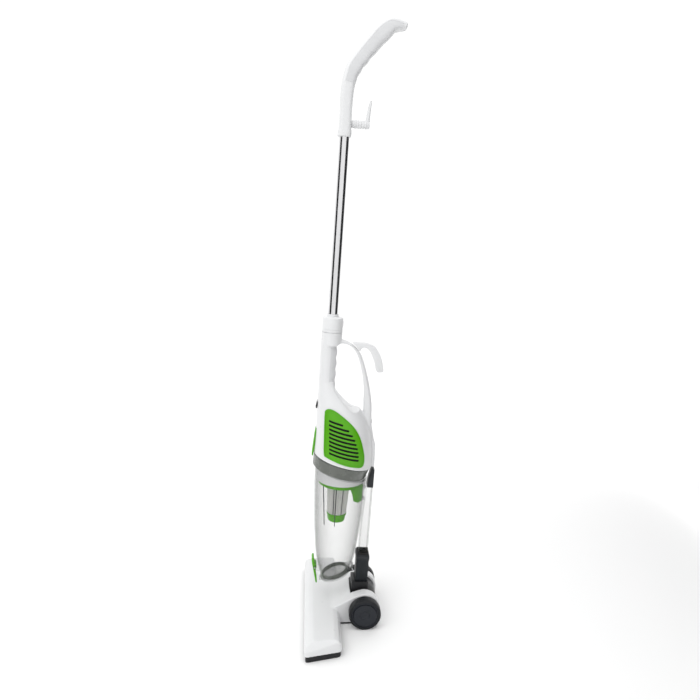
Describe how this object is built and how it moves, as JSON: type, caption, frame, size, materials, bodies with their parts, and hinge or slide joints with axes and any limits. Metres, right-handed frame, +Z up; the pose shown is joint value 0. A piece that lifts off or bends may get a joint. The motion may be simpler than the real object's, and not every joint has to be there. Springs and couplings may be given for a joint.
{
  "type": "upright vacuum cleaner",
  "caption": "Corded upright stick vacuum cleaner with floor head, clear dust bin, motor housing with finger loop, metal pole and curved top handle.",
  "frame": {"origin": "on the floor, under the middle of the cleaner's bounding box", "axes": "+Z up, front of the cleaner towards -Y, its left side towards +X"},
  "size_m": [0.313, 0.1896, 1.1269],
  "materials": {
    "white_shell": "satin to gloss moulded",
    "lime_plastic": "gloss moulded",
    "black_plastic": "fine moulded texture",
    "dark_grey_plastic": "fine moulded texture",
    "smoke_clear": "clear polished, lightly smoked",
    "smoke_dark": "dark smoked, polished",
    "wheel_plastic": "fine moulded texture",
    "tyre_rubber": "matt",
    "soft_rubber": "matt",
    "pole_metal": "polished tube",
    "steel": "bright",
    "motor_metal": "pressed",
    "lint_pile": "short pile",
    "filter_cloth": "pleated",
    "foam": "open cell foam",
    "grip_texture": "fine texture"
  },
  "bodies": {
    "head": {"head_shell": "white_shell", "base_plate": "black_plastic", "lint_strips": "lint_pile", "base_screws": "steel", "wheel_axles": "steel", "roller_pins": "steel"},
    "wheel_left": {"wheel_hub_left": "wheel_plastic", "wheel_tyre_left": "tyre_rubber"},
    "wheel_right": {"wheel_hub_right": "wheel_plastic", "wheel_tyre_right": "tyre_rubber"},
    "roller_left": {"roller_left": "dark_grey_plastic"},
    "roller_right": {"roller_right": "dark_grey_plastic"},
    "head_button": {"head_release_button": "black_plastic"},
    "bin_lid": {"bin_lid": "smoke_clear", "lid_seal": "soft_rubber"},
    "lid_latch": {"lid_latch": "lime_plastic"},
    "bin_release": {"bin_release_button": "lime_plastic"},
    "power_switch": {"power_switch": "black_plastic"},
    "rotor": {"motor_shaft": "steel", "impeller": "motor_metal"},
    "pole": {"pole_collar": "white_shell", "pole_tube": "pole_metal", "handle_shell_left": "white_shell", "handle_shell_right": "white_shell", "handle_grip_left": "grip_texture", "handle_grip_right": "grip_texture", "handle_screws": "steel", "hook_screw": "steel"},
    "pole_button": {"pole_release_button": "white_shell"},
    "upper_hook": {"upper_cord_hook": "white_shell"},
    "upright": {"neck_barrel": "black_plastic", "connector": "dark_grey_plastic", "suction_duct": "smoke_clear", "duct_cap": "dark_grey_plastic", "duct_seal": "soft_rubber", "bin_cup": "smoke_clear", "bin_ring": "smoke_dark", "cyclone_disc": "lime_plastic", "pleated_filter": "filter_cloth", "filter_cap": "lime_plastic", "premotor_foam": "foam", "foam_holder": "white_shell", "latch_pin": "steel", "lid_hinge_pin": "steel", "fan_housing": "dark_grey_plastic", "motor_can": "motor_metal", "motor_mount": "soft_rubber", "body_shell_left": "white_shell", "body_shell_right": "white_shell", "vent_cover_left": "lime_plastic", "vent_cover_right": "lime_plastic", "exhaust_foam_left": "foam", "exhaust_foam_right": "foam", "release_pin": "steel", "switch_block": "black_plastic", "lower_cord_hook": "white_shell", "cord_gland": "soft_rubber", "body_screws": "steel"}
  },
  "joints": [
    {"name": "wheel_left_spin", "type": "hinge", "parent": "head", "child": "wheel_left", "pos_m": [0.06, 0.0242, 0.0315], "axis": [1, 0, 0], "continuous": true},
    {"name": "wheel_right_spin", "type": "hinge", "parent": "head", "child": "wheel_right", "pos_m": [-0.06, 0.0242, 0.0315], "axis": [1, 0, 0], "continuous": true},
    {"name": "roller_left_spin", "type": "hinge", "parent": "head", "child": "roller_left", "pos_m": [0.096, -0.0378, 0.007], "axis": [1, 0, 0], "continuous": true},
    {"name": "roller_right_spin", "type": "hinge", "parent": "head", "child": "roller_right", "pos_m": [-0.096, -0.0378, 0.007], "axis": [1, 0, 0], "continuous": true},
    {"name": "neck_tilt", "type": "hinge", "parent": "head", "child": "upright", "pos_m": [0, 0.0242, 0.0315], "axis": [-1, 0, 0], "range_deg": [0, 80]},
    {"name": "head_button_press", "type": "slide", "parent": "upright", "child": "head_button", "axis": [0, -0.9978, 0.0663], "range_m": [0, 0.0017], "stiffness_N_per_m": 400, "springref_m": -0.001},
    {"name": "lid_swing", "type": "hinge", "parent": "upright", "child": "bin_lid", "pos_m": [0, 0.00341, 0.09841], "axis": [1, 0, 0], "range_deg": [0, 22]},
    {"name": "latch_press", "type": "hinge", "parent": "upright", "child": "lid_latch", "pos_m": [0, -0.07274, 0.10358], "axis": [-1, 0, 0], "range_deg": [0, 9], "stiffness_Nm_per_rad": 0.08, "springref_deg": -5.73},
    {"name": "bin_release_press", "type": "hinge", "parent": "upright", "child": "bin_release", "pos_m": [0, -0.06682, 0.37378], "axis": [-1, 0, 0], "range_deg": [0, 6], "stiffness_Nm_per_rad": 0.08, "springref_deg": -5.73},
    {"name": "power_switch_slide", "type": "slide", "parent": "upright", "child": "power_switch", "axis": [0, 0.0663, 0.9978], "range_m": [0, 0.008]},
    {"name": "motor_spin", "type": "hinge", "parent": "upright", "child": "rotor", "pos_m": [0, -0.01423, 0.3733], "axis": [0, 0.0663, 0.9978], "continuous": true},
    {"name": "pole_lift", "type": "slide", "parent": "upright", "child": "pole", "axis": [0, 0.0663, 0.9978], "range_m": [0, 0.04]},
    {"name": "pole_button_press", "type": "slide", "parent": "pole", "child": "pole_button", "axis": [0, -0.9978, 0.0663], "range_m": [0, 0.0025], "stiffness_N_per_m": 400, "springref_m": -0.001},
    {"name": "upper_hook_turn", "type": "hinge", "parent": "pole", "child": "upper_hook", "pos_m": [0, 0.01519, 0.95212], "axis": [0, 0.9978, -0.0663], "range_deg": [0, 180]}
  ]
}
